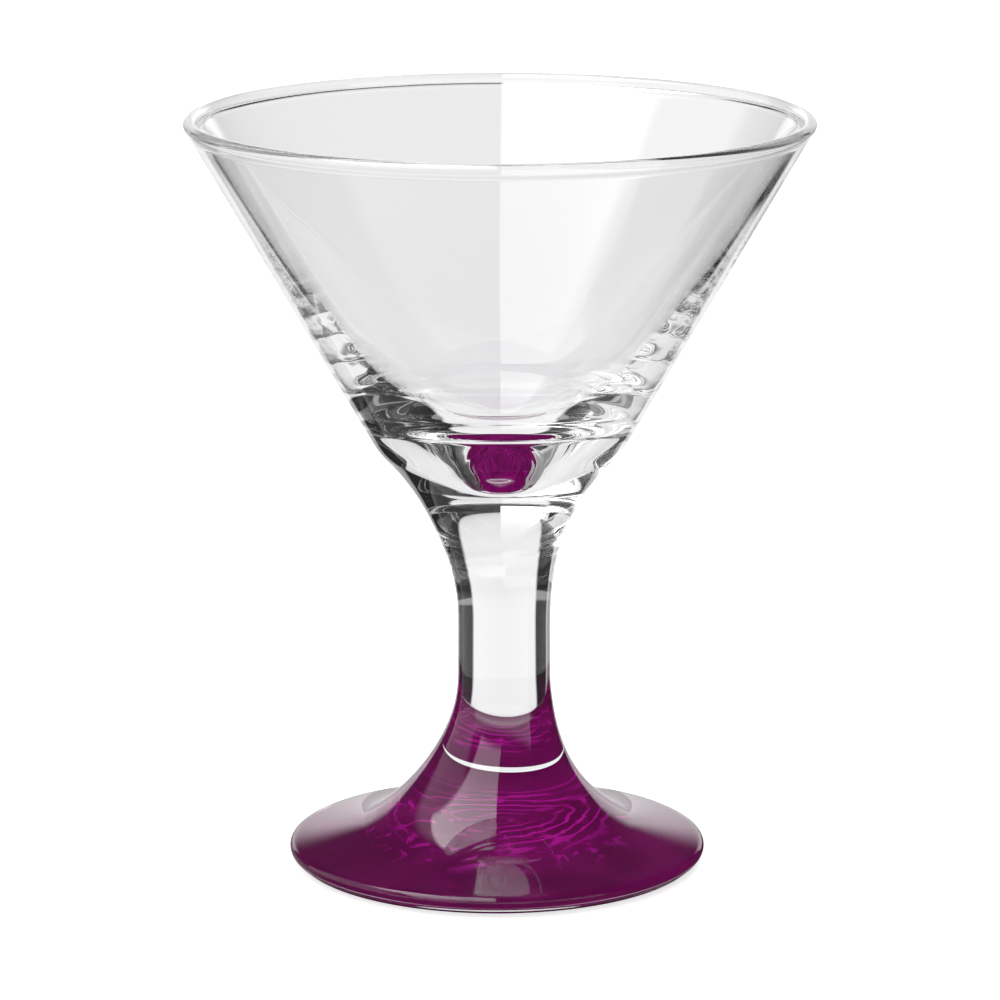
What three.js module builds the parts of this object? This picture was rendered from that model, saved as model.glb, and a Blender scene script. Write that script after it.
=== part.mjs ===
// Mini martini glass: a clear bowl, stem and foot fused hot, with a magenta lacquer under the foot.
// Millimetres, +Z up, origin on the table at the middle of the foot.

import * as THREE from 'three';

// Bowl
const glassHeight = 105; // table to the top of the rim
const rimRadius = 42.2; // axis to the middle of the rim bead
const beadRadius = 0.9; // half the thickness of the fire-polished rim bead
const rimWall = 1.55; // wall just under the bead
const bowlDepth = 45; // rim top down to the outside corner at the bowl's base
const baseRadius = 17.7; // axis to that corner
const shoulderRadius = 10; // round of that corner
const creaseRadius = 11.2; // ring inside the bowl where the wall meets the pointed bottom
const creaseLift = 3.8; // that ring's height over the outside corner
const creaseRise = 44; // degrees, slope of the wall just above the crease
const creaseRun = 2; // length of wall over which that slope is held
const wallRun = 50; // length of wall, down from the rim, that follows the cone
const bottomSlope = 39.5; // degrees, slope of the pointed bottom
const tipRadius = 6.5; // round at the lowest point inside

// Stem
const waistRadius = 6.45;
const waistBottom = 27; // table to where the stem becomes straight
const sweepDrop = 25.5; // outside corner of the bowl down to where the stem becomes straight
const bowlSweep = 33; // radius of the curve from the stem out to the bowl
const footSweep = 25; // radius of the curve from the stem out to the foot
const jointRise = 9.5; // the straight stem's top up to the fused joint under the bowl
const footJoint = 15.5; // height of the fused joint over the foot

// Foot
const footRadius = 29.1; // axis to the widest point of the glass edge
const edgeHeight = 1.9; // table to that widest point
const edgeRadius = 1; // round from the widest point up to the top face
const edgeTurn = 80; // degrees that this round turns through
const flankEnd = 60; // degrees of the sweep at which the flank becomes the top face
const bearingRadius = 25.7; // outer edge of the flat ring that stands on the table
const recessRadius = 23.5; // inner edge of that ring
const recessDepth = 2.2; // hollow of the underside at the axis
const recessPower = 4; // how square the hollow is towards its edge

// Lacquer
const coatThickness = 0.15;
const coatStart = 25; // degrees up the lower edge round at which the lacquer there begins
const coatHem = 50; // degrees up that round at which it ends
const baseCoatRadius = 22.5; // the underside's lacquer stops short of the standing ring

// Facets
const turns = 48; // round the axis
const sweepSteps = 5;
const shoulderSteps = 3;
const beadSteps = 3; // each third of the bead
const wallSteps = 9;
const tipSteps = 3;
const edgeSteps = 3;
const topSteps = 4;
const flankSteps = 5;
const recessSteps = 6;

const radians = THREE.MathUtils.degToRad;
const point = (r, z) => new THREE.Vector2(r, z);

// Heights that follow from the sizes above
const baseHeight = glassHeight - bowlDepth;
const creaseHeight = baseHeight + creaseLift;
const waistTop = baseHeight - sweepDrop;
const bowlJoint = waistTop + jointRise;

// Points of an arc from one angle to another, both ends included.
function arc(centre, radius, from, to, steps) {
  const points = [];
  for (let i = 0; i <= steps; i += 1) {
    const angle = from + (to - from) * i / steps;
    points.push(point(centre.x + radius * Math.cos(angle), centre.y + radius * Math.sin(angle)));
  }
  return points;
}

// Joins runs of points, leaving out a run's first point where it repeats the one before.
function outline(...runs) {
  const points = [];
  for (const run of runs) {
    for (const p of run) {
      const last = points[points.length - 1];
      if (!last || last.distanceTo(p) > 1e-6) points.push(p);
    }
  }
  return points;
}

// Stem sweeps: both are arcs that leave the straight waist, one upwards and one downwards.
const bowlSweepCentre = point(waistRadius + bowlSweep, waistTop);
const footSweepCentre = point(waistRadius + footSweep, waistBottom);
const bowlSweepAngle = (z) => Math.PI - Math.asin((z - waistTop) / bowlSweep);
const footSweepAngle = (z) => Math.PI + Math.asin((waistBottom - z) / footSweep);

function bowlSweepArc(from, to, steps) {
  return arc(bowlSweepCentre, bowlSweep, from, to, steps);
}

function footSweepArc(from, to, steps) {
  return arc(footSweepCentre, footSweep, from, to, steps);
}

// Cone of the bowl: from the outside corner up to the bead, half a wall outside the bead's middle.
const beadCentre = point(rimRadius, glassHeight - beadRadius);
const cornerToBead = beadCentre.clone().sub(point(baseRadius, baseHeight));
const coneLean = Math.asin(rimWall / 2 / cornerToBead.length());
const coneUp = cornerToBead.clone().normalize().rotateAround(point(0, 0), -coneLean);
const coneOut = point(coneUp.y, -coneUp.x);
const coneFacing = Math.atan2(coneOut.y, coneOut.x);
const wallMeetsBead = Math.acos(rimWall / 2 / beadRadius);

// The shoulder touches the cone from inside and the stem's upper sweep from outside.
function shoulderCentre() {
  const onCone = beadCentre.clone().addScaledVector(coneOut, rimWall / 2 - shoulderRadius);
  const from = onCone.clone().sub(bowlSweepCentre);
  const along = from.dot(coneUp);
  const reach = bowlSweep + shoulderRadius;
  const climb = -along + Math.sqrt(along * along - from.lengthSq() + reach * reach);
  return onCone.addScaledVector(coneUp, climb);
}

function bowlOutside() {
  const centre = shoulderCentre();
  const outward = centre.clone().sub(bowlSweepCentre);
  const touch = Math.atan2(outward.y, outward.x);
  const sweep = bowlSweepArc(bowlSweepAngle(bowlJoint), touch, sweepSteps);
  const shoulder = arc(centre, shoulderRadius, touch - Math.PI, coneFacing, shoulderSteps);
  return outline(sweep, shoulder);
}

function rimBead() {
  const beadArc = (from, to) => arc(beadCentre, beadRadius, from, to, beadSteps);
  const under = beadArc(coneFacing - wallMeetsBead, 0);
  const over = beadArc(0, Math.PI / 2);
  const inside = beadArc(Math.PI / 2, coneFacing + Math.PI + wallMeetsBead);
  return outline(under, over, inside);
}

function innerWall(top) {
  const rise = radians(creaseRise);
  const crease = point(creaseRadius, creaseHeight);
  const underRim = top.clone().addScaledVector(coneUp, -wallRun);
  const overCrease = crease.clone().add(point(Math.cos(rise), Math.sin(rise)).multiplyScalar(creaseRun));
  return new THREE.CubicBezierCurve(top, underRim, overCrease, crease).getPoints(wallSteps);
}

function pointedBottom() {
  const slope = radians(bottomSlope);
  const tipEdge = tipRadius * Math.sin(slope);
  const tipEdgeHeight = creaseHeight - (creaseRadius - tipEdge) * Math.tan(slope);
  const centre = point(0, tipEdgeHeight + tipRadius * Math.cos(slope));
  const down = -Math.PI / 2;
  const round = arc(centre, tipRadius, down + slope, down, tipSteps);
  round[round.length - 1].x = 0;
  return round;
}

// Foot outline, in the runs that the lacquer shares with the glass.
const edgeCentre = point(footRadius - edgeRadius, edgeHeight);

function lowerEdge(from, to) {
  const points = [];
  for (let i = 0; i <= edgeSteps; i += 1) {
    const angle = radians(from + (to - from) * i / edgeSteps);
    const r = bearingRadius + (footRadius - bearingRadius) * Math.sin(angle);
    points.push(point(r, edgeHeight * (1 - Math.cos(angle))));
  }
  return points;
}

function footTop() {
  const round = arc(edgeCentre, edgeRadius, 0, radians(edgeTurn), edgeSteps);
  const rim = round[round.length - 1];
  const flank = footSweepArc(Math.PI + radians(flankEnd), footSweepAngle(footJoint), flankSteps);
  const rimAlong = point(-Math.sin(radians(edgeTurn)), Math.cos(radians(edgeTurn)));
  const flankAlong = point(Math.sin(radians(flankEnd)), -Math.cos(radians(flankEnd)));
  const gap = flank[0].clone().sub(rim);
  const run = gap.cross(flankAlong) / rimAlong.cross(flankAlong);
  const corner = rim.clone().addScaledVector(rimAlong, run);
  const face = new THREE.QuadraticBezierCurve(rim, corner, flank[0]).getPoints(topSteps);
  return outline(round, face, flank);
}

function coatedEdge() {
  return lowerEdge(coatStart, coatHem);
}

function coatedUnderside() {
  const points = [];
  for (let i = 0; i <= recessSteps; i += 1) {
    const r = baseCoatRadius * i / recessSteps;
    points.push(point(r, recessDepth * (1 - (r / recessRadius) ** recessPower)));
  }
  return points;
}

// A run moved sideways by a thickness, each point along the normal on its left.
function offset(points, distance) {
  return points.map((p, i) => {
    const before = points[Math.max(i - 1, 0)];
    const after = points[Math.min(i + 1, points.length - 1)];
    const along = after.clone().sub(before).normalize();
    return point(p.x - along.y * distance, p.y + along.x * distance);
  });
}

// Materials
function clearGlass() {
  return new THREE.MeshStandardMaterial({
    color: 0xeef2f3, roughness: 0.04, metalness: 0, transparent: true, opacity: 0.35,
  });
}

function magentaLacquer(color) {
  return new THREE.MeshStandardMaterial({
    color, roughness: 0.06, metalness: 0,
  });
}

// Turns a closed outline round the Z axis.
function turned(name, points, material) {
  const geometry = new THREE.LatheGeometry(points, turns);
  geometry.rotateX(Math.PI / 2);
  const mesh = new THREE.Mesh(geometry, material);
  mesh.name = name;
  return mesh;
}

function makeBowl() {
  const bead = rimBead();
  const inside = innerWall(bead[bead.length - 1]);
  const joint = [point(0, bowlJoint)];
  return turned('bowl', outline(joint, bowlOutside(), bead, inside, pointedBottom()), clearGlass());
}

function makeStem() {
  const lower = footSweepArc(footSweepAngle(footJoint), Math.PI, sweepSteps);
  const upper = bowlSweepArc(Math.PI, bowlSweepAngle(bowlJoint), sweepSteps);
  const ends = [[point(0, footJoint)], [point(0, bowlJoint)]];
  return turned('stem', outline(ends[0], lower, upper, ends[1]), clearGlass());
}

function makeFoot() {
  const ring = [point(recessRadius, 0)];
  const edge = outline(lowerEdge(0, coatStart), coatedEdge(), lowerEdge(coatHem, 90));
  const joint = [point(0, footJoint)];
  return turned('foot', outline(coatedUnderside(), ring, edge, footTop(), joint), clearGlass());
}

function makeFootCoat() {
  const glassSide = coatedEdge();
  const airSide = offset(glassSide, -coatThickness);
  const section = outline(airSide, glassSide.reverse(), [airSide[0].clone()]);
  return turned('foot_coat', section, magentaLacquer(0xa01880));
}

function makeBaseCoat() {
  const glassSide = coatedUnderside();
  const airSide = glassSide.map((p) => point(p.x, p.y - coatThickness));
  return turned('base_coat', outline(airSide, glassSide.reverse()), magentaLacquer(0x7a1260));
}

const glass = new THREE.Group();
glass.name = 'mini_martini_glass';
glass.add(makeBowl(), makeStem(), makeFoot(), makeFootCoat(), makeBaseCoat());

export default glass;
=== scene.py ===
import math

import bpy
import numpy as np
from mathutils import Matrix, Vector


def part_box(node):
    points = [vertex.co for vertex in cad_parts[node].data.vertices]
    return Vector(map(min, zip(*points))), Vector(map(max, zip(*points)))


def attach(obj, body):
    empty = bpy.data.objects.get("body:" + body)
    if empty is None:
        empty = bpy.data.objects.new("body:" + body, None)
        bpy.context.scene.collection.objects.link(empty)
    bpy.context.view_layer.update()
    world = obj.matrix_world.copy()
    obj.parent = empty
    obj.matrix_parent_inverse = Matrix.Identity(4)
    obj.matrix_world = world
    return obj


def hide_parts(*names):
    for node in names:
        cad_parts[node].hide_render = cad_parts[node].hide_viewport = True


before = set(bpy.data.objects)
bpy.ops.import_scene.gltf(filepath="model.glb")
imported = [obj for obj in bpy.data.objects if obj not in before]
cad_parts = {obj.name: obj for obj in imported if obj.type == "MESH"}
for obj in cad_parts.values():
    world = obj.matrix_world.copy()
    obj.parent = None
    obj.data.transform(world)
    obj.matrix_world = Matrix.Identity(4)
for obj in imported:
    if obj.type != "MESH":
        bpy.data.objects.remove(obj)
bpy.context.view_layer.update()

mm = 0.001
print("frame loaded:", ", ".join(sorted(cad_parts)))


# heights and radii that the solids already hold, in mm
def topOf(node):
    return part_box(node)[1].z / mm


def bottomOf(node):
    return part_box(node)[0].z / mm


def radiusOf(node):
    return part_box(node)[1].x / mm


# outline helpers: a run is an array of (radius, height) in mm
def arcRun(centre, radius, start, end, step):
    count = max(2, math.ceil(abs(end - start) * radius / step))
    angles = np.linspace(start, end, count + 1)
    return np.column_stack((centre[0] + radius * np.cos(angles), centre[1] + radius * np.sin(angles)))


def lineRun(start, end, step):
    start = np.array(start, float)
    end = np.array(end, float)
    count = max(1, math.ceil(np.linalg.norm(end - start) / step))
    return start + np.linspace(0, 1, count + 1)[:, None] * (end - start)


def curveRun(points, step):
    points = np.array(points, float)
    degree = len(points) - 1
    length = np.linalg.norm(np.diff(points, axis=0), axis=1).sum()
    t = np.linspace(0, 1, max(2, math.ceil(length / step)) + 1)[:, None]
    return sum(math.comb(degree, i) * t**i * (1 - t) ** (degree - i) * points[i] for i in range(degree + 1))


def smoothStep(low, high, values):
    t = np.clip((values - low) / (high - low), 0, 1)
    return t * t * (3 - 2 * t)


# foot: hollow underside, standing ring, rounded edge, top face and flank
footSizes = {
    "edgeHeight": 1.9,
    "edgeRadius": 1,
    "edgeTurn": 80,
    "flankEnd": 60,
    "bearingRadius": 25.7,
    "recessRadius": 23.5,
    "recessDepth": 2.2,
    "recessPower": 4,
    "step": 0.35,
    "edgeStep": 0.2,
    "lowerPoints": 16,
    "barePoints": 4,
}

# lacquer under the foot: in the hollow, as a thin stain on the standing ring, and up the lower edge
coatSizes = {
    "hem": 50,  # degrees up the lower edge
    "thickness": 0.15,
    "bondGap": 0.02,
    "stain": ((22.0, 23.3), (27.0, 27.9)),  # radii where it thins to a stain, and where it thickens again
    "seam": (25.1, 25.7, 26.3),  # its two fields meet at the outer edge of the ring
    "feather": 0.7,
}

# stem: a straight waist between two sweeps
stemSizes = {
    "waistRadius": 6.45,
    "waistBottom": 27,
    "waistTop": 34.5,
    "footSweep": 25,
    "bowlSweep": 33,
    "step": 0.4,
}

# bowl: shoulder, cone, rim bead, inner wall and pointed bottom
bowlSizes = {
    "rimRadius": 42.2,
    "beadRadius": 0.9,
    "rimWall": 1.55,
    "baseRadius": 17.7,
    "baseHeight": 60,
    "shoulderRadius": 10,
    "creaseRadius": 11.2,
    "creaseHeight": 63.8,
    "creaseRise": 44,
    "creaseRun": 2,
    "creaseRound": 0.3,
    "wallRun": 50,
    "bottomSlope": 39.5,
    "tipRadius": 6.5,
    "step": 0.5,
    "coneStep": 1.0,
    "beadStep": 0.12,
    "creaseStep": 0.12,
    "bottomStep": 0.3,
    "tipStep": 0.25,
}


def undersideRuns():
    s = footSizes
    hollow = lambda r: s["recessDepth"] * (1 - (r / s["recessRadius"]) ** s["recessPower"])
    coatEnd = radiusOf("base_coat")
    coated = np.linspace(0, coatEnd, math.ceil(coatEnd / s["step"]) + 1)
    bare = np.linspace(coatEnd, s["recessRadius"], s["barePoints"])
    ring = lineRun((s["recessRadius"], 0), (s["bearingRadius"], 0), s["step"])
    return [
        ("hollow", np.column_stack((coated, hollow(coated)))),
        ("ring", np.vstack((np.column_stack((bare, hollow(bare))), ring[1:]))),
    ]


def footEdgeRuns():
    s = footSizes
    width = radiusOf("foot") - s["bearingRadius"]

    def lower(start, end):
        a = np.radians(np.linspace(start, end, s["lowerPoints"]))
        return np.column_stack((s["bearingRadius"] + width * np.sin(a), s["edgeHeight"] * (1 - np.cos(a))))

    edgeCentre = (radiusOf("foot") - s["edgeRadius"], s["edgeHeight"])
    turn = math.radians(s["edgeTurn"])
    upper = arcRun(edgeCentre, s["edgeRadius"], 0, turn, s["edgeStep"])
    t = stemSizes
    sweepCentre = (t["waistRadius"] + t["footSweep"], t["waistBottom"])
    flankStart = math.pi + math.radians(s["flankEnd"])
    sweepAngle = lambda z: math.pi + math.asin((t["waistBottom"] - z) / t["footSweep"])
    flank = arcRun(sweepCentre, t["footSweep"], flankStart, sweepAngle(bottomOf("stem")), s["step"])
    lowerStem = arcRun(sweepCentre, t["footSweep"], sweepAngle(bottomOf("stem")), math.pi, t["step"])
    # the top face bends between the two tangents where the edge round and the flank end
    edgeAlong = np.array((-math.sin(turn), math.cos(turn)))
    flankAlong = np.array((math.sin(math.radians(s["flankEnd"])), -math.cos(math.radians(s["flankEnd"]))))
    gap = flank[0] - upper[-1]
    cross = lambda a, b: a[0] * b[1] - a[1] * b[0]
    corner = upper[-1] + edgeAlong * cross(gap, flankAlong) / cross(edgeAlong, flankAlong)
    face = curveRun((upper[-1], corner, flank[0]), s["step"])
    top = np.vstack((lower(coatSizes["hem"], 90), upper[1:], face[1:], flank[1:]))
    return [("coatedEdge", lower(0, coatSizes["hem"])), ("top", top), ("stem", lowerStem)]


def bowlRuns():
    s = bowlSizes
    t = stemSizes
    glassHeight = topOf("bowl")
    waist = lineRun((t["waistRadius"], t["waistBottom"]), (t["waistRadius"], t["waistTop"]), t["step"])
    beadCentre = np.array((s["rimRadius"], glassHeight - s["beadRadius"]))
    toBead = beadCentre - (s["baseRadius"], s["baseHeight"])
    lean = math.atan2(toBead[0], toBead[1]) + math.asin(s["rimWall"] / 2 / np.linalg.norm(toBead))
    coneUp = np.array((math.sin(lean), math.cos(lean)))
    coneOut = np.array((math.cos(lean), -math.sin(lean)))
    facing = math.atan2(coneOut[1], coneOut[0])
    # the shoulder round touches the cone from inside and the stem's sweep from outside
    sweepCentre = np.array((t["waistRadius"] + t["bowlSweep"], t["waistTop"]))
    shoulderCentre = beadCentre + coneOut * (s["rimWall"] / 2 - s["shoulderRadius"])
    start = shoulderCentre - sweepCentre
    along = start @ coneUp
    reach = t["bowlSweep"] + s["shoulderRadius"]
    shoulderCentre = shoulderCentre + coneUp * (-along + math.sqrt(along**2 - start @ start + reach**2))
    outward = shoulderCentre - sweepCentre
    touch = math.atan2(outward[1], outward[0])
    jointAngle = math.pi - math.asin((bottomOf("bowl") - t["waistTop"]) / t["bowlSweep"])
    upperStem = arcRun(sweepCentre, t["bowlSweep"], math.pi, jointAngle, t["step"])
    sweep = arcRun(sweepCentre, t["bowlSweep"], jointAngle, touch, t["step"])
    shoulder = arcRun(shoulderCentre, s["shoulderRadius"], touch - math.pi, facing, s["step"])
    meet = math.acos(s["rimWall"] / 2 / s["beadRadius"])
    beadRuns = [
        arcRun(beadCentre, s["beadRadius"], a, b, s["beadStep"])
        for a, b in ((facing - meet, 0), (0, math.pi / 2), (math.pi / 2, facing + math.pi + meet))
    ]
    bead = np.vstack((beadRuns[0], beadRuns[1][1:], beadRuns[2][1:]))
    cone = lineRun(shoulder[-1], bead[0], s["coneStep"])
    outside = np.vstack((sweep, shoulder[1:], cone[1:], bead[1:]))
    stem = np.vstack((waist, upperStem[1:]))
    return [("stem", stem), ("outside", outside), ("inside", innerRun(bead[-1], coneUp))]


def innerRun(top, coneUp):
    s = bowlSizes
    rise = math.radians(s["creaseRise"])
    slope = math.radians(s["bottomSlope"])
    crease = np.array((s["creaseRadius"], s["creaseHeight"]))
    up = np.array((math.cos(rise), math.sin(rise)))
    down = np.array((-math.cos(slope), -math.sin(slope)))
    wall = curveRun((top, top - coneUp * s["wallRun"], crease + up * s["creaseRun"], crease), s["step"])
    tipEdge = s["tipRadius"] * math.sin(slope)
    tipCentre = (0, crease[1] - (crease[0] - tipEdge) * math.tan(slope) + s["tipRadius"] * math.cos(slope))
    tip = arcRun(tipCentre, s["tipRadius"], slope - math.pi / 2, -math.pi / 2, s["tipStep"])
    tip[-1, 0] = 0
    # the crease itself is a small round
    distance = np.linalg.norm(wall - crease, axis=1)
    wall = wall[distance > s["creaseRound"]]
    bottomStart = crease + down * s["creaseRound"]
    creaseArc = curveRun((wall[-1], crease, bottomStart), s["creaseStep"])
    bottom = lineRun(bottomStart, tip[0], s["bottomStep"])
    return np.vstack((wall, creaseArc[1:], bottom[1:], tip[1:]))


samePoint = 1e-6  # points nearer than this are one, in mm


# one outline from the middle of the underside, up the outside, over the rim and down to the inner tip
def joinedOutline():
    points = []
    zones = []
    for zone, run in undersideRuns() + footEdgeRuns() + bowlRuns():
        for p in run:
            if points and np.linalg.norm(p - points[-1]) < samePoint:
                continue
            points.append(p)
            zones.append(zone)
    return np.array(points), np.array(zones)


outline, zones = joinedOutline()
travel = np.concatenate(([0], np.cumsum(np.linalg.norm(np.diff(outline, axis=0), axis=1))))
tangent = np.gradient(outline, travel, axis=0)
tangent /= np.linalg.norm(tangent, axis=1)[:, None]
outlineNormal = np.column_stack((tangent[:, 1], -tangent[:, 0]))
print("outline:", len(outline), "points")

segments = 256
theta = np.arange(segments) * 2 * math.pi / segments


# relief: how far the skin stands out from the plain turned form, in mm, over the outline and round the axis
# a drift is a list of (size, waves round the axis, start, twist with the radius)
neckSizes = {
    "height": 44.5,
    "tilt": 1.5,
    "spread": 2.6,
    "pitch": 1.7,
    "depth": 0.04,
    "faintest": 0.15,  # share left at the front and back, the two sides have it all
    "drift": ((1.1, 2, 0.6, 0.0), (0.7, 5, 2.0, 0.0), (0.4, 11, 0.0, 0.0)),
}
waveSizes = {
    "depth": 0.02,
    "counts": (9, 14, 23, 31),
    "shift": 1.7,
    "twist": 0.002,
    "middle": 80,
    "fadeFrom": 66,
    "fadeTo": 80,
}
rippleSizes = {
    "depth": 0.035,
    "pitch": 4.2,
    "edge": 21,
    "fade": 4,
    "calm": 3,  # radius at the middle without ripples
    "drift": ((0.9, 3, 0.3, 0.0), (0.6, 7, 0.0, 0.4)),
}


def driftOf(waves, radius):
    return sum(size * np.sin(theta * count + start + radius * twist) for size, count, start, twist in waves)


def neckWrinkles():
    s = neckSizes
    z = outline[:, 1][:, None]
    middle = s["height"] + s["tilt"] * np.cos(theta)
    window = np.exp(-(((z - middle) / s["spread"]) ** 2)) * (np.isin(zones, ("outside", "stem"))[:, None])
    strength = s["faintest"] + (1 - s["faintest"]) * np.cos(theta) ** 2
    phase = 2 * math.pi * (z - middle) / s["pitch"] + driftOf(s["drift"], 0)
    return s["depth"] * window * strength * np.sin(phase)


def wallWaves():
    s = waveSizes
    z = outline[:, 1][:, None]
    fade = smoothStep(s["fadeFrom"], s["fadeTo"], z) * (zones == "inside")[:, None]
    waves = 0
    for i, count in enumerate(s["counts"]):
        turn = s["shift"] * i + s["twist"] * count * (z - s["middle"])
        waves = waves + np.sin(theta * count + turn) / (i + 1)
    return s["depth"] * fade * waves


def undersideRipples():
    s = rippleSizes
    r = outline[:, 0][:, None]
    hollow = (zones == "hollow")[:, None] * (1 - smoothStep(s["edge"] - s["fade"], s["edge"], r))
    inner = smoothStep(0, s["calm"], r)
    phase = 2 * math.pi * r / s["pitch"] + driftOf(s["drift"], r) * inner
    return s["depth"] * hollow * np.sin(phase) * inner


relief = neckWrinkles() + wallWaves() + undersideRipples()

# lean: the hot-joined stem stands a little to the right of the foot, in mm over the height
leanSizes = {"foot": -0.42, "stem": 0.58, "footJoin": (9, 24), "bowlJoin": (36, 50)}


def leanAt(height):
    s = leanSizes
    joined = (s["stem"] - s["foot"]) * smoothStep(*s["footJoin"], height)
    return s["foot"] + joined - s["stem"] * smoothStep(*s["bowlJoin"], height)


gridSizes = {"nearby": 0.05, "leastRadius": 0.5}  # mm, for slopes


# skin: the same outline as a grid of points with its normals
def turnedGrid(offset):
    shape = (len(outline), segments)
    offset = np.broadcast_to(offset, shape)
    radius = outline[:, 0][:, None] + outlineNormal[:, 0][:, None] * offset
    height = outline[:, 1][:, None] + outlineNormal[:, 1][:, None] * offset
    radius = np.where(outline[:, 0][:, None] < samePoint, 0, radius)
    lean = leanAt(height)
    places = np.stack((radius * np.cos(theta) + lean, radius * np.sin(theta), height), axis=-1) * mm
    nearby = gridSizes["nearby"]
    leanSlope = (leanAt(height + nearby) - leanAt(height - nearby)) / (2 * nearby)
    lengthwise = np.gradient(offset, travel, axis=0)
    around = (np.roll(offset, -1, axis=1) - np.roll(offset, 1, axis=1)) / (2 * theta[1])
    around = around / np.maximum(outline[:, 0][:, None], gridSizes["leastRadius"])
    nr = outlineNormal[:, 0][:, None] - lengthwise * tangent[:, 0][:, None]
    nz = outlineNormal[:, 1][:, None] - lengthwise * tangent[:, 1][:, None]
    nx = nr * np.cos(theta) + around * np.sin(theta)
    ny = nr * np.sin(theta) - around * np.cos(theta)
    normals = np.stack((nx, ny, nz - leanSlope * nx), axis=-1)
    normals /= np.linalg.norm(normals, axis=-1)[..., None]
    return places, normals


class Turning:
    # gathers rings into one mesh, with a normal for every face corner
    def __init__(self):
        self.places = []
        self.faces = []
        self.cornerNormals = []
        self.finishes = []

    def addRing(self, ring):
        first = len(self.places)
        if np.ptp(ring, axis=0).max() < samePoint * mm:
            self.places.append(ring[0])
            return [first] * segments
        self.places.extend(ring)
        return list(range(first, first + segments))

    def addBand(self, a, b, normalsA, normalsB, finish):
        for k in range(segments):
            n = (k + 1) % segments
            corners = [(a[k], normalsA[k]), (a[n], normalsA[n]), (b[n], normalsB[n]), (b[k], normalsB[k])]
            if a[0] == a[1]:
                corners.pop(0)
            elif b[0] == b[1]:
                corners.pop(2)
            self.faces.append([c[0] for c in corners])
            self.cornerNormals.extend(c[1] for c in corners)
            self.finishes.append(finish)

    def piece(self, name, materials):
        mesh = bpy.data.meshes.new(name)
        mesh.from_pydata([tuple(p) for p in self.places], [], self.faces)
        for material in materials:
            mesh.materials.append(material)
        mesh.polygons.foreach_set("material_index", self.finishes)
        mesh.polygons.foreach_set("use_smooth", [True] * len(self.faces))
        mesh.normals_split_custom_set([tuple(n) for n in self.cornerNormals])
        mesh.update()
        obj = bpy.data.objects.new(name, mesh)
        bpy.context.scene.collection.objects.link(obj)
        return obj


def flatNormals(z):
    return np.tile((0.0, 0.0, z), (segments, 1))


def centreRing(height):
    return np.tile((leanAt(height) * mm, 0.0, height * mm), (segments, 1))


def closedTurning(places, normals, finishes, startCap=None, endCap=None, capFinish=1):
    # startCap and endCap are heights of joint faces that close the ends on the axis
    t = Turning()
    rings = [t.addRing(ring) for ring in places]
    if startCap is not None:
        centre = t.addRing(centreRing(startCap))
        t.addBand(centre, rings[0], flatNormals(-1), flatNormals(-1), capFinish)
    for i in range(len(rings) - 1):
        t.addBand(rings[i], rings[i + 1], normals[i], normals[i + 1], finishes[i])
    if endCap is not None:
        centre = t.addRing(centreRing(endCap))
        t.addBand(rings[-1], centre, flatNormals(1), flatNormals(1), capFinish)
    return t


# shared effects as node groups
def newGroup(name, inputs, outputs):
    group = bpy.data.node_groups.new(name, "ShaderNodeTree")
    for label, kind, value in inputs:
        socket = group.interface.new_socket(label, in_out="INPUT", socket_type=kind)
        socket.default_value = value
    for label, kind in outputs:
        group.interface.new_socket(label, in_out="OUTPUT", socket_type=kind)
    return group, group.nodes.new("NodeGroupInput"), group.nodes.new("NodeGroupOutput")


def addNode(tree, kind, **settings):
    node = tree.nodes.new(kind)
    for key, value in settings.items():
        if key in node.inputs.keys():
            node.inputs[key].default_value = value
        else:
            setattr(node, key, value)
    return node


def stepNode(tree, value, span, fromLevel, toLevel):
    node = addNode(tree, "ShaderNodeMapRange", interpolation_type="SMOOTHSTEP")
    for key, number in zip(("From Min", "From Max", "To Min", "To Max"), (*span, fromLevel, toLevel)):
        node.inputs[key].default_value = number
    tree.links.new(value, node.inputs["Value"])
    return node.outputs["Result"]


def mathNode(tree, operation, a, b):
    node = addNode(tree, "ShaderNodeMath", operation=operation)
    for socket, value in zip(node.inputs, (a, b)):
        if isinstance(value, (int, float)):
            socket.default_value = value
        else:
            tree.links.new(value, socket)
    return node.outputs[0]


def mixNode(tree, factor, a, b):
    node = addNode(tree, "ShaderNodeMix")
    for key, value in (("Factor", factor), ("A", a), ("B", b)):
        if isinstance(value, (int, float)):
            node.inputs[key].default_value = value
        else:
            tree.links.new(value, node.inputs[key])
    return node.outputs["Result"]


def distanceNode(tree, place):
    node = addNode(tree, "ShaderNodeVectorMath", operation="LENGTH")
    tree.links.new(place, node.inputs[0])
    return node.outputs["Value"]


# pressed glass: slow upright waves from the mould and the fine unevenness of a fire polish
pressedSizes = {"squeeze": (1, 1, 0.25), "waveDetail": 1.0, "grainDetail": 2.0, "grainShare": 0.08}


def pressedFlowGroup():
    s = pressedSizes
    group, given, out = newGroup(
        "pressedFlow",
        [("Waves", "NodeSocketFloat", 60.0), ("Grain", "NodeSocketFloat", 700.0)],
        [("Height", "NodeSocketFloat")],
    )
    link = group.links.new
    place = addNode(group, "ShaderNodeTexCoord").outputs["Object"]
    squeeze = addNode(group, "ShaderNodeMapping", Scale=s["squeeze"])
    waves = addNode(group, "ShaderNodeTexNoise", Detail=s["waveDetail"])
    grain = addNode(group, "ShaderNodeTexNoise", Detail=s["grainDetail"])
    link(place, squeeze.inputs["Vector"])
    link(squeeze.outputs["Vector"], waves.inputs["Vector"])
    link(place, grain.inputs["Vector"])
    link(given.outputs["Waves"], waves.inputs["Scale"])
    link(given.outputs["Grain"], grain.inputs["Scale"])
    small = mathNode(group, "MULTIPLY", grain.outputs["Fac"], s["grainShare"])
    link(mathNode(group, "ADD", waves.outputs["Fac"], small), out.inputs["Height"])
    return group


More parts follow.
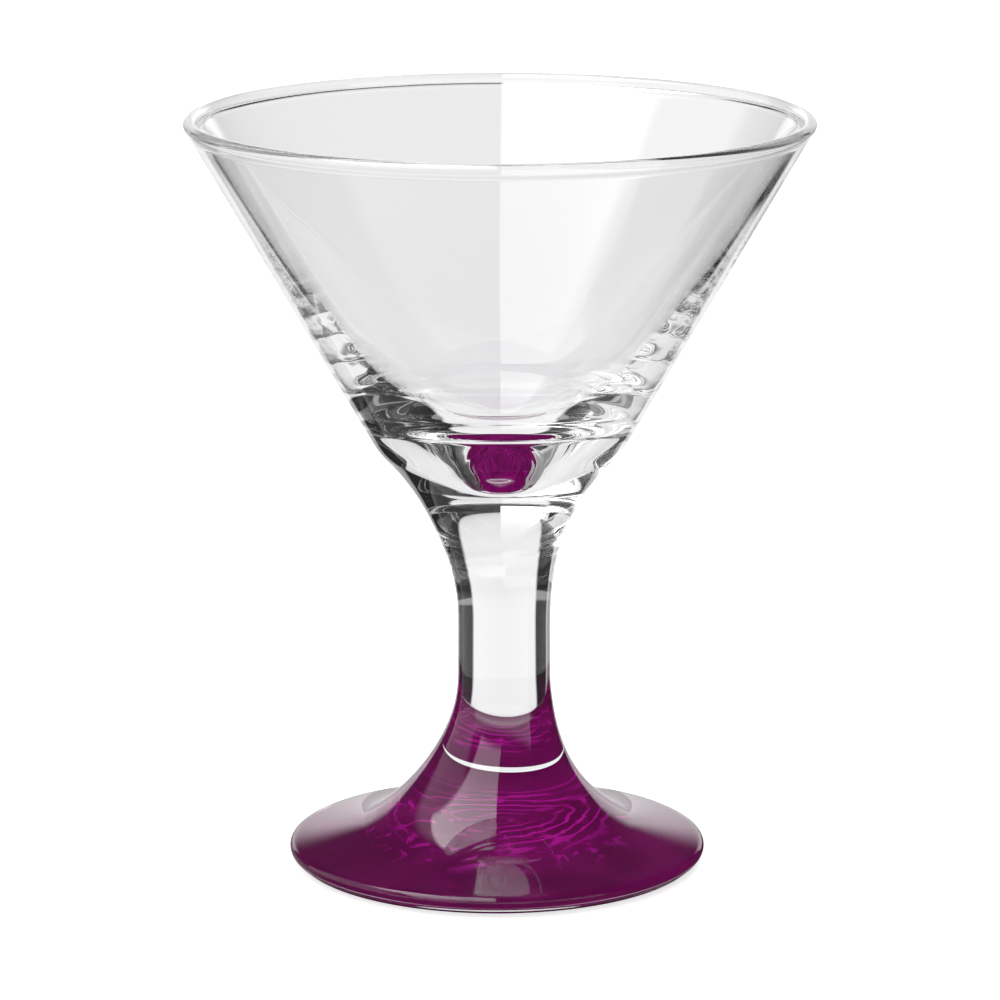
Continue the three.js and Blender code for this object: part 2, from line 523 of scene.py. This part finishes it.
# handling: faint smears that are a little less glossy than the surface round them
handlingSizes = {"detail": 3.0, "distortion": 1.2, "smears": (0.58, 0.75)}


def handlingGroup():
    s = handlingSizes
    group, given, out = newGroup(
        "handlingMarks",
        [
            ("Scale", "NodeSocketFloat", 40.0),
            ("Clean", "NodeSocketFloat", 0.0),
            ("Smeared", "NodeSocketFloat", 0.02),
        ],
        [("Roughness", "NodeSocketFloat")],
    )
    link = group.links.new
    place = addNode(group, "ShaderNodeTexCoord").outputs["Object"]
    smear = addNode(group, "ShaderNodeTexNoise", Detail=s["detail"], Distortion=s["distortion"])
    spread = addNode(group, "ShaderNodeMapRange", interpolation_type="SMOOTHSTEP")
    for key, value in zip(("From Min", "From Max"), s["smears"]):
        spread.inputs[key].default_value = value
    link(place, smear.inputs["Vector"])
    link(given.outputs["Scale"], smear.inputs["Scale"])
    link(smear.outputs["Fac"], spread.inputs["Value"])
    link(given.outputs["Clean"], spread.inputs["To Min"])
    link(given.outputs["Smeared"], spread.inputs["To Max"])
    link(spread.outputs["Result"], out.inputs["Roughness"])
    return group


# lacquer: clouded colour, with painted highlights in rings round the axis and in streaks a little further
# out, in place of light glinting off the ripples under the foot
lacquerCloudAndHighlightSizes = {
    "cloud": {"Detail": 4.0, "Distortion": 0.6},
    "cloudSpan": (0.35, 0.65),
    "ring": {"Distortion": 9.0, "Detail": 3.0, "Detail Scale": 0.9},
    "ringSpan": (0.76, 1.0),
    "ringShare": 0.8,
    "ringEnd": (0.010, 0.016),  # metres from the axis
    "patch": {"Scale": 160.0, "Detail": 1.0},  # breaks up the painted highlight rings
    "patchSpan": (0.42, 0.62),
    "streak": {"Scale": 190.0, "Detail": 3.0, "Distortion": 2.5},
    "streakSpan": (0.56, 0.70),
    "streakShare": 0.7,
    "streakEnd": (0.015, 0.021),
}


def colourMix(tree, factor, a, b):
    node = addNode(tree, "ShaderNodeMix", data_type="RGBA")
    colourA, colourB = [socket for socket in node.inputs if socket.type == "RGBA"]
    tree.links.new(factor, node.inputs["Factor"])
    tree.links.new(a, colourA)
    tree.links.new(b, colourB)
    return [socket for socket in node.outputs if socket.type == "RGBA"][0]


def lacquerGroup():
    s = lacquerCloudAndHighlightSizes
    group, given, out = newGroup(
        "lacquerCloudsAndPaintedHighlights",
        [(label, "NodeSocketColor", (1, 1, 1, 1)) for label in ("Deep", "Plain", "Bright")]
        + [("Clouds", "NodeSocketFloat", 70.0), ("Rings", "NodeSocketFloat", 150.0)],
        [("Colour", "NodeSocketColor"), ("Height", "NodeSocketFloat")],
    )
    link = group.links.new
    place = addNode(group, "ShaderNodeTexCoord").outputs["Object"]
    cloud = addNode(group, "ShaderNodeTexNoise", **s["cloud"])
    ring = addNode(group, "ShaderNodeTexWave", wave_type="RINGS", rings_direction="Z", **s["ring"])
    patch = addNode(group, "ShaderNodeTexNoise", **s["patch"])
    streak = addNode(group, "ShaderNodeTexNoise", **s["streak"])
    for node in (cloud, ring, patch, streak):
        link(place, node.inputs["Vector"])
    link(given.outputs["Clouds"], cloud.inputs["Scale"])
    link(given.outputs["Rings"], ring.inputs["Scale"])
    reach = distanceNode(group, place)
    # painted highlights: the rings near the axis and the streaks further out turn the colour towards the
    # highlight colour
    rings = stepNode(group, ring.outputs["Fac"], s["ringSpan"], 0, s["ringShare"])
    rings = mathNode(group, "MULTIPLY", rings, stepNode(group, patch.outputs["Fac"], s["patchSpan"], 0, 1))
    rings = mathNode(group, "MULTIPLY", rings, stepNode(group, reach, s["ringEnd"], 1, 0))
    streaks = stepNode(group, streak.outputs["Fac"], s["streakSpan"], 0, 1)
    streakReach = stepNode(group, reach, s["streakEnd"], s["streakShare"], 0)
    streaks = mathNode(group, "MULTIPLY", streaks, streakReach)
    clouds = stepNode(group, cloud.outputs["Fac"], s["cloudSpan"], 0, 1)
    clouded = colourMix(group, clouds, given.outputs["Deep"], given.outputs["Plain"])
    paintedHighlight = mathNode(group, "MAXIMUM", rings, streaks)
    link(colourMix(group, paintedHighlight, clouded, given.outputs["Bright"]), out.inputs["Colour"])
    link(cloud.outputs["Fac"], out.inputs["Height"])
    return group


pressedFlow = pressedFlowGroup()
handlingMarks = handlingGroup()
lacquerCloudsAndPaintedHighlights = lacquerGroup()
print("node groups ready")


def startMaterial(name):
    material = bpy.data.materials.new(name)
    material.use_nodes = True
    return material, material.node_tree, material.node_tree.nodes["Principled BSDF"]


def placeGroup(tree, group, **values):
    node = tree.nodes.new("ShaderNodeGroup")
    node.node_tree = group
    for key, value in values.items():
        node.inputs[key].default_value = value
    return node


glassFinish = {"tint": (0.985, 0.985, 0.992), "ior": 1.52, "waves": 60.0, "smear": 0.012, "lift": 0.02}
magenta = {
    "deep": (0.22, 0.006, 0.12),
    "plain": (0.32, 0.010, 0.18),
    # colour of the painted highlights
    "paintedHighlight": (0.95, 0.02, 0.62),
    "clouds": 70.0,
    "rings": 150.0,
}
glossFinish = {"clean": 0.08, "smeared": 0.16, "lift": 0.05}
bumpHeight = 0.0002  # metres


# bump from a group's height, and roughness from the handling marks
def addSurface(tree, shader, height, lift, **smears):
    marks = placeGroup(tree, handlingMarks, **smears)
    bump = addNode(tree, "ShaderNodeBump", Strength=lift, Distance=bumpHeight)
    tree.links.new(height, bump.inputs["Height"])
    tree.links.new(bump.outputs["Normal"], shader.inputs["Normal"])
    tree.links.new(marks.outputs["Roughness"], shader.inputs["Roughness"])


def clearGlass(name, tint, ior, waves, smear, lift):
    material, tree, shader = startMaterial(name)
    shader.inputs["Base Color"].default_value = (*tint, 1)
    shader.inputs["Transmission Weight"].default_value = 1
    shader.inputs["IOR"].default_value = ior
    flow = placeGroup(tree, pressedFlow, Waves=waves)
    addSurface(tree, shader, flow.outputs["Height"], lift, Smeared=smear)
    return material


# a face where two pieces are fused or bonded: nothing of it shows
def fusedFace(name):
    material, tree, shader = startMaterial(name)
    shader.inputs["Base Color"].default_value = (1, 1, 1, 1)
    shader.inputs["Alpha"].default_value = 0
    return material


# the lacquer's side in the air is glossy, the side on the glass has no gloss of its own
def lacquer(name, deep, plain, paintedHighlight, clouds, rings, gloss=None):
    material, tree, shader = startMaterial(name)
    colours = {"Deep": (*deep, 1), "Plain": (*plain, 1), "Bright": (*paintedHighlight, 1)}
    flow = placeGroup(tree, lacquerCloudsAndPaintedHighlights, **colours, Clouds=clouds, Rings=rings)
    tree.links.new(flow.outputs["Colour"], shader.inputs["Base Color"])
    if gloss:
        smears = {"Clean": gloss["clean"], "Smeared": gloss["smeared"]}
        addSurface(tree, shader, flow.outputs["Height"], gloss["lift"], **smears)
    else:
        shader.inputs["Roughness"].default_value = 1
        shader.inputs["Specular IOR Level"].default_value = 0
    return material


bowlGlass = clearGlass("bowlGlass", **glassFinish)
stemGlass = clearGlass("stemGlass", **glassFinish)
footGlass = clearGlass("footGlass", **glassFinish)
fusedGlass = fusedFace("fusedGlass")
lacquerAir = lacquer("lacquerAirSide", **magenta, gloss=glossFinish)
lacquerBond = lacquer("lacquerGlassSide", **magenta)
print("finishes ready")


# pieces, cut from the one skin at the fused joints
def indexOfHeight(height, zoneNames):
    near = np.where(np.isin(zones, zoneNames), np.abs(outline[:, 1] - height), np.inf)
    return int(np.argmin(near))


lastRing = int(np.max(np.where(zones == "ring")[0]))
lastCoated = int(np.max(np.where(zones == "coatedEdge")[0]))
footCut = indexOfHeight(bottomOf("stem"), ("top", "stem"))
bowlCut = indexOfHeight(bottomOf("bowl"), ("stem", "outside"))
dish = 0.02  # how far a joint face sinks towards its middle, in mm, so that two never share a place


# offsets of the lacquer's two sides and of the glass under it, in mm
# where it is a stain it lies in the glass, so that the ring still stands on the table
def coatOffsets():
    s = coatSizes
    radius = outline[:, 0]
    low, middle, high = s["seam"]
    stain = smoothStep(*s["stain"][0], radius) * (1 - smoothStep(*s["stain"][1], radius))
    present = 1 - smoothStep(low, middle, radius) + smoothStep(middle, high, radius)
    present *= smoothStep(0, s["feather"], travel[lastCoated] - travel)
    present[lastCoated:] = 0
    bonded = s["bondGap"] * (1 - 2 * stain) * present
    return bonded, s["thickness"] * (1 - stain) * present, -2 * s["bondGap"] * stain * present


coatBonded, coatOuter, glassDip = coatOffsets()
skinPlaces, skinNormals = turnedGrid(relief + glassDip[:, None])


def makeBowl():
    part = slice(bowlCut, len(outline))
    cap = bottomOf("bowl") + dish
    t = closedTurning(skinPlaces[part], skinNormals[part], [0] * len(outline), startCap=cap)
    return t.piece("bowl_glass", [bowlGlass, fusedGlass])


def makeStem():
    part = slice(footCut, bowlCut + 1)
    caps = {"startCap": bottomOf("stem") + dish, "endCap": topOf("stem") - dish}
    t = closedTurning(skinPlaces[part], skinNormals[part], [0] * len(outline), **caps)
    return t.piece("stem_glass", [stemGlass, fusedGlass])


def makeFoot():
    part = slice(0, footCut + 1)
    finishes = [int(i < lastCoated) for i in range(footCut)]
    t = closedTurning(skinPlaces[part], skinNormals[part], finishes, endCap=topOf("foot") - dish)
    return t.piece("foot_glass", [footGlass, fusedGlass])


def makeCoat(name, first, last):
    innerPlaces, innerNormals = turnedGrid(relief + coatBonded[:, None])
    outerPlaces, outerNormals = turnedGrid(relief + coatOuter[:, None])
    t = Turning()
    outerRings = [t.addRing(outerPlaces[i]) for i in range(first, last + 1)]
    innerRings = []
    for n, i in enumerate(range(first, last + 1)):
        shared = i == last or (i == first and first > 0)
        innerRings.append(outerRings[n] if shared else t.addRing(innerPlaces[i]))
    for n, i in enumerate(range(first, last)):
        t.addBand(outerRings[n], outerRings[n + 1], outerNormals[i], outerNormals[i + 1], 0)
        t.addBand(innerRings[n + 1], innerRings[n], -innerNormals[i + 1], -innerNormals[i], 1)
    return t.piece(name, [lacquerAir, lacquerBond])


bowlPiece = makeBowl()
stemPiece = makeStem()
footPiece = makeFoot()
footCoat = makeCoat("foot_lacquer", lastRing, lastCoated)
baseCoat = makeCoat("base_lacquer", 0, lastRing)

rides = {
    "bowl": (bowlPiece, "bowl_glass"),
    "stem": (stemPiece, "stem_glass"),
    "foot": (footPiece, "foot_glass"),
    "foot_coat": (footCoat, "foot_lacquer"),
    "base_coat": (baseCoat, "base_lacquer"),
}
for node, (obj, slotName) in rides.items():
    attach(obj, "root")
    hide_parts(node)
print("pieces made:", ", ".join(obj.name for obj, slotName in rides.values()))


# stage: a plain pale floor, the surroundings that the glass shows, and soft lights
# levels are light levels with 1 as white, and reaches are metres from the axis
floorSizes = {
    "half": 3.0,
    "drop": 0.05,
    "colour": (0.9, 0.9, 0.9, 1),
    "cameraGlow": 0.75,
    "pale": 0.98,  # as the glass shows it
    "paleBehind": 0.92,  # straight behind the glass
    "panelPale": ((0.24, 0.28), (0.40, 0.46)),  # between these the dark panels are paler
    "palePart": 0.3,
    "bowlReach": (0.06, 0.09),  # the bowl shows its panel only as far as this
    "mirrored": 0.7,  # as the glass mirrors it
    "mirroredNear": 0.06,
    "mirroredBehind": 0.85,
    "mirrorRise": (0.06, 0.11),
}
studioSizes = {
    "low": 0.96,  # pale walls near the floor, dark above
    "high": 0.04,
    "wallFade": (0.12, 0.36),
    "sweep": 0.9,  # white paper that rises high behind the glass
    "sweepFade": (0.80, 0.88),
    "mirrorLow": 1.3,  # the same walls as the glass mirrors them
    "mirrorFade": (0.2, 0.36),
    "bowlFade": (0.3, 0.55),  # the same walls as the bowl shows them
    "ambient": 0.9,  # all round, as the lacquer gathers it
}
whiteSweep = {"Azimuth": 0.0, "HalfWidth": 31.0, "Softness": 3.0}
straightBehind = {"Azimuth": 0.0, "HalfWidth": 30.0, "Softness": 30.0}
backHalf = {"Azimuth": 0.0, "HalfWidth": 110.0, "Softness": 30.0}

# panels beside the sweep, by their bearing from the glass: 0 is straight behind it, + is to the right
panels = [
    # dark right side
    {"Azimuth": 75.0, "HalfWidth": 46.0, "Softness": 3.0, "floor": 0.02, "wall": 0.02},
    # dark strip on the left
    {"Azimuth": -43.0, "HalfWidth": 14.0, "Softness": 3.0, "floor": 0.02, "wall": 0.04},
    # grey left side
    {"Azimuth": -86.0, "HalfWidth": 32.0, "Softness": 8.0, "floor": 0.3, "wall": 0.87},
]
# the one dark strip that the bowl shows
bowlPanel = {"Azimuth": -45.0, "HalfWidth": 22.0, "Softness": 6.0, "level": 0.1}


# a sector of the surroundings as a mask
def sectorGroup():
    group, given, out = newGroup(
        "sector",
        [("Place", "NodeSocketVector", (0, 0, 0))]
        + [(label, "NodeSocketFloat", 0.0) for label in ("Azimuth", "HalfWidth", "Softness")],
        [("Mask", "NodeSocketFloat")],
    )
    split = addNode(group, "ShaderNodeSeparateXYZ")
    bearing = addNode(group, "ShaderNodeMath", operation="ARCTAN2")
    degrees = addNode(group, "ShaderNodeMath", operation="DEGREES")
    away = addNode(group, "ShaderNodeMath", operation="SUBTRACT")
    size = addNode(group, "ShaderNodeMath", operation="ABSOLUTE")
    inside = addNode(group, "ShaderNodeMath", operation="SUBTRACT")
    soft = addNode(group, "ShaderNodeMath", operation="DIVIDE", use_clamp=True)
    link = group.links.new
    link(given.outputs["Place"], split.inputs[0])
    link(split.outputs["X"], bearing.inputs[0])
    link(split.outputs["Y"], bearing.inputs[1])
    link(bearing.outputs[0], degrees.inputs[0])
    link(degrees.outputs[0], away.inputs[0])
    link(given.outputs["Azimuth"], away.inputs[1])
    link(away.outputs[0], size.inputs[0])
    link(given.outputs["HalfWidth"], inside.inputs[0])
    link(size.outputs[0], inside.inputs[1])
    link(inside.outputs[0], soft.inputs[0])
    link(given.outputs["Softness"], soft.inputs[1])
    link(soft.outputs[0], out.inputs["Mask"])
    return group


sector = sectorGroup()


def sectorMask(tree, place, bounds):
    node = placeGroup(tree, sector, **{key: bounds[key] for key in ("Azimuth", "HalfWidth", "Softness")})
    tree.links.new(place, node.inputs["Place"])
    return node.outputs["Mask"]


solidDepth = 3  # the bowl's two walls take more faces than this


# rays off the glass or through one part of it
def solidRays(tree):
    path = addNode(tree, "ShaderNodeLightPath")
    return mathNode(tree, "LESS_THAN", path.outputs["Transmission Depth"], solidDepth)


# rays that light the lacquer through the glass
def gatheredRays(tree):
    path = addNode(tree, "ShaderNodeLightPath")
    both = mathNode(tree, "MULTIPLY", path.outputs["Diffuse Depth"], path.outputs["Transmission Depth"])
    return mathNode(tree, "GREATER_THAN", both, 0)


# lays the panels over a level for the solid rays, as strongly as shown says
def withPanels(tree, place, level, key, shown):
    shown = mathNode(tree, "MULTIPLY", solidRays(tree), shown)
    for panel in panels:
        mask = mathNode(tree, "MULTIPLY", sectorMask(tree, place, panel), shown)
        level = mixNode(tree, mask, level, panel[key])
    return level


# lays the bowl's own panel over a level for all other rays
def withBowlPanel(tree, place, level, shown):
    bowlRays = mathNode(tree, "SUBTRACT", 1, solidRays(tree))
    shown = mathNode(tree, "MULTIPLY", bowlRays, shown)
    mask = mathNode(tree, "MULTIPLY", sectorMask(tree, place, bowlPanel), shown)
    return mixNode(tree, mask, level, bowlPanel["level"])


# what a mirrored ray meets, or else what a ray through the glass meets
def byRay(tree, seenLevel, mirrorLevel):
    path = addNode(tree, "ShaderNodeLightPath")
    return mixNode(tree, path.outputs["Is Transmission Ray"], mirrorLevel, seenLevel)


def emptyMaterial(name):
    material = bpy.data.materials.new(name)
    material.use_nodes = True
    material.node_tree.nodes.clear()
    return material, material.node_tree, material.node_tree.nodes.new("ShaderNodeOutputMaterial")


def makeFloor():
    s = floorSizes
    material, tree, out = emptyMaterial("paleFloor")
    link = tree.links.new
    place = addNode(tree, "ShaderNodeNewGeometry").outputs["Position"]
    reach = distanceNode(tree, place)
    pale = mixNode(tree, sectorMask(tree, place, straightBehind), s["pale"], s["paleBehind"])
    inward, outward = (stepNode(tree, reach, span, 0, s["palePart"]) for span in s["panelPale"])
    shown = mathNode(tree, "SUBTRACT", 1, mathNode(tree, "SUBTRACT", inward, outward))
    seenLevel = withPanels(tree, place, pale, "floor", shown)
    seenLevel = withBowlPanel(tree, place, seenLevel, stepNode(tree, reach, s["bowlReach"], 1, 0))
    mirrorLevel = stepNode(tree, reach, s["mirrorRise"], s["mirroredNear"], s["mirrored"])
    mirrorLevel = mixNode(tree, sectorMask(tree, place, backHalf), mirrorLevel, s["mirroredBehind"])
    mirrorLevel = withPanels(tree, place, mirrorLevel, "floor", 1)
    seen = addNode(tree, "ShaderNodeEmission")
    level = byRay(tree, seenLevel, mirrorLevel)
    link(mixNode(tree, gatheredRays(tree), level, studioSizes["ambient"]), seen.inputs["Strength"])
    glow = addNode(tree, "ShaderNodeEmission", Strength=s["cameraGlow"])
    lit = addNode(tree, "ShaderNodeBsdfDiffuse", Color=s["colour"])
    glowing = addNode(tree, "ShaderNodeAddShader")
    path = addNode(tree, "ShaderNodeLightPath")
    choose = addNode(tree, "ShaderNodeMixShader")
    link(glow.outputs[0], glowing.inputs[0])
    link(lit.outputs[0], glowing.inputs[1])
    link(path.outputs["Is Camera Ray"], choose.inputs[0])
    link(seen.outputs[0], choose.inputs[1])
    link(glowing.outputs[0], choose.inputs[2])
    link(choose.outputs[0], out.inputs["Surface"])
    half = s["half"]
    mesh = bpy.data.meshes.new("floor")
    corners = [(-half, -half), (half, -half), (half, half), (-half, half)]
    mesh.from_pydata([(x, y, -s["drop"] * mm) for x, y in corners], [], [(0, 1, 2, 3)])
    mesh.materials.append(material)
    floor = bpy.data.objects.new("floor", mesh)
    bpy.context.scene.collection.objects.link(floor)


def makeWorld():
    s = studioSizes
    world = bpy.data.worlds.new("studio")
    bpy.context.scene.world = world
    world.use_nodes = True
    tree = world.node_tree
    link = tree.links.new
    seen = tree.nodes["Background"]
    seen.inputs["Color"].default_value = (1, 1, 1, 1)
    white = addNode(tree, "ShaderNodeBackground", Strength=1.0, Color=(1, 1, 1, 1))
    where = addNode(tree, "ShaderNodeTexCoord").outputs["Generated"]
    split = addNode(tree, "ShaderNodeSeparateXYZ")
    link(where, split.inputs[0])
    height = split.outputs["Z"]
    walls = stepNode(tree, height, s["wallFade"], s["low"], s["high"])
    walls = withPanels(tree, where, walls, "wall", 1)
    sweep = stepNode(tree, height, s["sweepFade"], s["sweep"], 0)
    sweep = mathNode(tree, "MULTIPLY", sweep, sectorMask(tree, where, whiteSweep))
    mirrored = stepNode(tree, height, s["mirrorFade"], s["mirrorLow"], s["high"])
    mirrored = withPanels(tree, where, mirrored, "wall", 1)
    bowlWalls = withBowlPanel(tree, where, stepNode(tree, height, s["bowlFade"], s["low"], s["high"]), 1)
    walls = mixNode(tree, solidRays(tree), bowlWalls, mathNode(tree, "MAXIMUM", walls, sweep))
    level = byRay(tree, walls, mirrored)
    link(mixNode(tree, gatheredRays(tree), level, s["ambient"]), seen.inputs["Strength"])
    path = addNode(tree, "ShaderNodeLightPath")
    choose = addNode(tree, "ShaderNodeMixShader")
    link(path.outputs["Is Camera Ray"], choose.inputs[0])
    link(seen.outputs[0], choose.inputs[1])
    link(white.outputs[0], choose.inputs[2])
    link(choose.outputs[0], tree.nodes["World Output"].inputs["Surface"])


# softbox: a sheet arched over the glass from low in front to just behind, left of the middle
softboxSizes = {
    "side": (-46, 0),  # degrees to the left, degrees to the right
    "arch": (20, 107),  # degrees up from the front
    "distance": 0.7,
    "centre": 0.06,  # height of the arch's middle, in metres
    "strength": 6.0,
    "lowShare": 0.4,  # dimmer towards its lower end
    "glassShare": 0.5,  # dimmer through any glass
    "edges": (0.12, 0.03, 0.1, 0.04),  # left, right, low, high
    "columns": 24,
    "rows": 24,
}


def makeSoftbox():
    s = softboxSizes
    material, tree, out = emptyMaterial("softbox")
    link = tree.links.new
    uv = addNode(tree, "ShaderNodeTexCoord")
    split = addNode(tree, "ShaderNodeSeparateXYZ")
    link(uv.outputs["UV"], split.inputs[0])
    along, up = split.outputs["X"], split.outputs["Y"]
    left, right, low, high = s["edges"]
    cover = mathNode(tree, "SUBTRACT", 1, gatheredRays(tree))
    for value, start, end in ((along, left, right), (up, low, high)):
        cover = mathNode(tree, "MULTIPLY", cover, stepNode(tree, value, (0, start), 0, 1))
        cover = mathNode(tree, "MULTIPLY", cover, stepNode(tree, value, (1 - end, 1), 1, 0))
    glow = addNode(tree, "ShaderNodeEmission")
    level = stepNode(tree, up, (0, 1), s["strength"] * s["lowShare"], s["strength"])
    path = addNode(tree, "ShaderNodeLightPath")
    through = mathNode(tree, "GREATER_THAN", path.outputs["Transmission Depth"], 0)
    share = mixNode(tree, through, 1, s["glassShare"])
    link(mathNode(tree, "MULTIPLY", level, share), glow.inputs["Strength"])
    clear = addNode(tree, "ShaderNodeBsdfTransparent")
    choose = addNode(tree, "ShaderNodeMixShader")
    link(cover, choose.inputs[0])
    link(clear.outputs[0], choose.inputs[1])
    link(glow.outputs[0], choose.inputs[2])
    link(choose.outputs[0], out.inputs["Surface"])
    columns, rows = s["columns"], s["rows"]
    places, faces, uvs = [], [], []
    for j in range(rows + 1):
        for i in range(columns + 1):
            u, v = i / columns, j / rows
            side = math.radians(s["side"][0] + (s["side"][1] - s["side"][0]) * u)
            arch = math.radians(s["arch"][0] + (s["arch"][1] - s["arch"][0]) * v)
            d = s["distance"]
            forward = -d * math.cos(side) * math.cos(arch)
            height = s["centre"] + d * math.cos(side) * math.sin(arch)
            places.append((d * math.sin(side), forward, height))
            uvs.append((u, v))
    for j in range(rows):
        for i in range(columns):
            a = j * (columns + 1) + i
            faces.append((a, a + 1, a + columns + 2, a + columns + 1))
    mesh = bpy.data.meshes.new("softbox")
    mesh.from_pydata(places, [], faces)
    layer = mesh.uv_layers.new(name="sheet")
    for loop in mesh.loops:
        layer.data[loop.index].uv = uvs[loop.vertex_index]
    mesh.materials.append(material)
    obj = bpy.data.objects.new("softbox", mesh)
    bpy.context.scene.collection.objects.link(obj)
    obj.visible_camera = False
    obj.visible_diffuse = False
    obj.visible_shadow = False


# a soft lamp overhead for the floor and its shadow
lampSizes = {"width": 0.9, "height": 1.1, "back": 0.15, "power": 9.0}


def makeLamp():
    s = lampSizes
    lamp = bpy.data.lights.new("overheadLamp", "AREA")
    lamp.size = s["width"]
    lamp.energy = s["power"]
    obj = bpy.data.objects.new("overheadLamp", lamp)
    obj.location = (0, s["back"], s["height"])
    obj.visible_glossy = False
    obj.visible_transmission = False
    bpy.context.scene.collection.objects.link(obj)


# camera at the photograph's angle
cameraSizes = {
    "lens": 174.45,
    "sensor": 36,
    "clip": (0.01, 50),
    "distance": 654.544,  # mm in front of the axis
    "height": 201.703,
    "pitch": 12.94,
}


def makeCamera():
    s = cameraSizes
    camera = bpy.data.cameras.new("camera")
    camera.sensor_width = s["sensor"]
    camera.lens = s["lens"]
    camera.clip_start, camera.clip_end = s["clip"]
    obj = bpy.data.objects.new("camera", camera)
    obj.location = (0, -s["distance"] * mm, s["height"] * mm)
    obj.rotation_euler = (math.radians(90 - s["pitch"]), 0, 0)
    bpy.context.scene.collection.objects.link(obj)
    bpy.context.scene.camera = obj


makeFloor()
makeWorld()
makeSoftbox()
makeLamp()
makeCamera()
print("stage, lights and camera ready")

# light meets many faces of glass before it leaves it
glassBounces = 120
clearBounces = 64
scene = bpy.context.scene
scene.view_settings.view_transform = "Standard"
scene.cycles.max_bounces = glassBounces
scene.cycles.transmission_bounces = glassBounces
scene.cycles.glossy_bounces = glassBounces
scene.cycles.transparent_max_bounces = clearBounces
scene.cycles.caustics_reflective = False
scene.cycles.caustics_refractive = True  # the lacquer's upper face is lit through the glass
